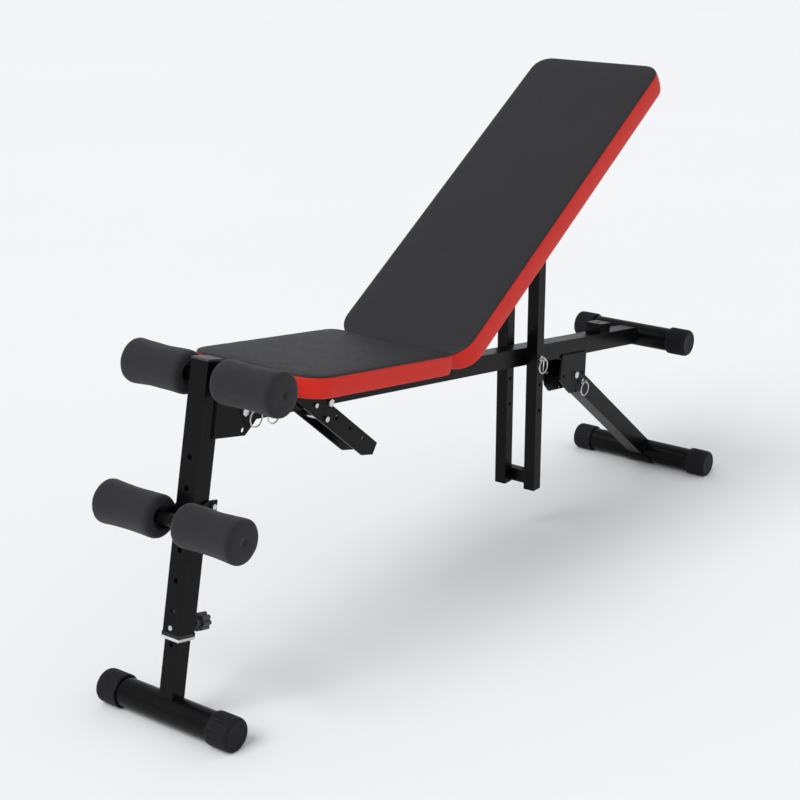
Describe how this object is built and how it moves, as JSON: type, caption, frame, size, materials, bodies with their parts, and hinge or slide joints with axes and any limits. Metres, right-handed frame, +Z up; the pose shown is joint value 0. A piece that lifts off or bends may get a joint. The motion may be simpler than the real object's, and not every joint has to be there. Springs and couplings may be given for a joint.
{
  "type": "decline sit up bench",
  "caption": "Folding sit-up bench: sloping steel beam on a folding front post and rear leg, foam leg rollers, tilting seat and reclining back pad on twin support bars.",
  "frame": {"origin": "on the floor under the middle of the bench, half way along its length", "axes": "+Z up, +Y towards the head end of the back pad, +X towards the sitter's left"},
  "size_m": [0.376, 1.7807, 1.0345],
  "materials": {
    "black_tube": "gloss black paint over steel tube",
    "cap_rubber": "moulded, satin, ribbed",
    "black_plastic": "moulded",
    "bushing_plastic": "light grey moulded sleeve",
    "zinc_steel": "zinc-plated fasteners and pins",
    "foam": "closed-cell foam, matt",
    "upholstery": "black leatherette with a red side band",
    "plywood": "plain board"
  },
  "bodies": {
    "frame": {"main_beam": "black_tube", "rear_cross_tube": "black_tube", "rear_cross_caps": "cap_rubber", "rest_block": "black_tube", "leg_bracket": "black_tube", "leg_bolt": "zinc_steel", "hinge_bracket": "black_tube", "seat_axle_rod": "zinc_steel", "back_axle_rod": "zinc_steel"},
    "front_post": {"post_tube": "black_tube", "post_cap": "black_plastic", "post_bushing": "bushing_plastic", "bushing_screw": "zinc_steel", "knob_boss": "black_tube", "fold_plates": "black_tube", "fold_bolt": "zinc_steel", "upper_roller_tube": "black_tube", "upper_tube_plugs": "black_plastic"},
    "upper_left_roller": {"roller_upper_left": "foam"},
    "upper_right_roller": {"roller_upper_right": "foam"},
    "roller_carriage": {"carriage_plates": "black_tube", "lower_roller_tube": "black_tube", "lower_tube_plugs": "black_plastic", "carriage_bolt": "zinc_steel", "carriage_peg": "zinc_steel"},
    "lower_left_roller": {"roller_lower_left": "foam"},
    "lower_right_roller": {"roller_lower_right": "foam"},
    "front_foot": {"inner_tube": "black_tube", "front_foot_tube": "black_tube", "front_foot_caps": "cap_rubber"},
    "knob": {"height_knob": "black_plastic", "knob_screw": "zinc_steel"},
    "seat": {"seat_pad": "upholstery", "seat_board": "plywood", "seat_channel": "black_tube", "seat_tie_rod": "zinc_steel", "channel_studs": "zinc_steel", "seat_screws": "zinc_steel", "seat_tabs": "black_tube"},
    "back": {"back_pad": "upholstery", "back_board": "plywood", "back_rails": "black_tube", "back_tabs": "black_tube", "back_screws": "zinc_steel", "bar_hanger": "black_tube", "bar_bolt": "zinc_steel"},
    "support": {"support_bars": "black_tube", "bar_crosspiece": "black_tube"},
    "rear_leg": {"rear_leg_tube": "black_tube", "rear_foot_tube": "black_tube", "rear_foot_caps": "cap_rubber", "foot_saddle": "black_tube"},
    "post_lock": {"post_pin": "zinc_steel"},
    "post_lock_ring": {"post_ring": "zinc_steel"},
    "storage_lock": {"storage_pin": "zinc_steel"},
    "storage_lock_ring": {"storage_ring": "zinc_steel"},
    "bars_lock": {"bars_pin": "zinc_steel"},
    "bars_lock_ring": {"bars_ring": "zinc_steel"},
    "leg_lock": {"leg_pin": "zinc_steel"},
    "leg_lock_ring": {"leg_ring": "zinc_steel"}
  },
  "joints": [
    {"name": "post_fold", "type": "hinge", "parent": "frame", "child": "front_post", "pos_m": [0, -0.6655, 0.544], "axis": [1, 0, 0], "range_deg": [0, 70]},
    {"name": "foot_height", "type": "slide", "parent": "front_post", "child": "front_foot", "axis": [0, 0.2045, 0.9789], "range_m": [-0.08, 0]},
    {"name": "roller_height", "type": "slide", "parent": "front_post", "child": "roller_carriage", "axis": [0, 0.2045, 0.9789], "range_m": [-0.167, 0.1]},
    {"name": "upper_left_spin", "type": "hinge", "parent": "front_post", "child": "upper_left_roller", "pos_m": [0, -0.73182, 0.62017], "axis": [1, 0, 0], "continuous": true},
    {"name": "upper_right_spin", "type": "hinge", "parent": "front_post", "child": "upper_right_roller", "pos_m": [0, -0.73182, 0.62017], "axis": [1, 0, 0], "continuous": true},
    {"name": "lower_left_spin", "type": "hinge", "parent": "roller_carriage", "child": "lower_left_roller", "pos_m": [0, -0.82915, 0.38317], "axis": [1, 0, 0], "continuous": true},
    {"name": "lower_right_spin", "type": "hinge", "parent": "roller_carriage", "child": "lower_right_roller", "pos_m": [0, -0.82915, 0.38317], "axis": [1, 0, 0], "continuous": true},
    {"name": "knob_turn", "type": "hinge", "parent": "front_post", "child": "knob", "pos_m": [0, -0.79134, 0.17391], "axis": [0, 0.9789, -0.2045], "continuous": true},
    {"name": "seat_tilt", "type": "hinge", "parent": "frame", "child": "seat", "pos_m": [0, -0.20956, 0.51403], "axis": [1, 0, 0], "range_deg": [-4.5, 0]},
    {"name": "back_tilt", "type": "hinge", "parent": "frame", "child": "back", "pos_m": [0, -0.17451, 0.51996], "axis": [1, 0, 0], "range_deg": [0, 20]},
    {"name": "bars_swing", "type": "hinge", "parent": "back", "child": "support", "pos_m": [0, 0.27127, 0.75282], "axis": [1, 0, 0], "range_deg": [-8, 0.5]},
    {"name": "leg_fold", "type": "hinge", "parent": "frame", "child": "rear_leg", "pos_m": [0, 0.47242, 0.33006], "axis": [1, 0, 0], "range_deg": [-70, 0]},
    {"name": "post_pin_pull", "type": "slide", "parent": "front_post", "child": "post_lock", "axis": [1, 0, 0], "range_m": [0, 0.03]},
    {"name": "storage_pin_pull", "type": "slide", "parent": "frame", "child": "storage_lock", "axis": [1, 0, 0], "range_m": [0, 0.03]},
    {"name": "bars_pin_pull", "type": "slide", "parent": "support", "child": "bars_lock", "axis": [1, 0, 0], "range_m": [0, 0.06]},
    {"name": "leg_pin_pull", "type": "slide", "parent": "frame", "child": "leg_lock", "axis": [1, 0, 0], "range_m": [0, 0.03]},
    {"name": "post_ring_swing", "type": "hinge", "parent": "post_lock", "child": "post_lock_ring", "pos_m": [0.0325, -0.64423, 0.54313], "axis": [0, 1, 0], "range_deg": [-80, 0]},
    {"name": "storage_ring_swing", "type": "hinge", "parent": "storage_lock", "child": "storage_lock_ring", "pos_m": [0.0281, -0.59205, 0.53497], "axis": [0, 1, 0], "range_deg": [-80, 0]},
    {"name": "bars_ring_swing", "type": "hinge", "parent": "bars_lock", "child": "bars_lock_ring", "pos_m": [0.0608, 0.27127, 0.4223], "axis": [0, 1, 0], "range_deg": [-80, 0]},
    {"name": "leg_ring_swing", "type": "hinge", "parent": "leg_lock", "child": "leg_lock_ring", "pos_m": [0.0321, 0.50324, 0.30616], "axis": [0, 1, 0], "range_deg": [-80, 0]}
  ],
  "couplings": [
    {"joint": "bars_swing", "follows": "back_tilt", "ratio": -0.358}
  ]
}
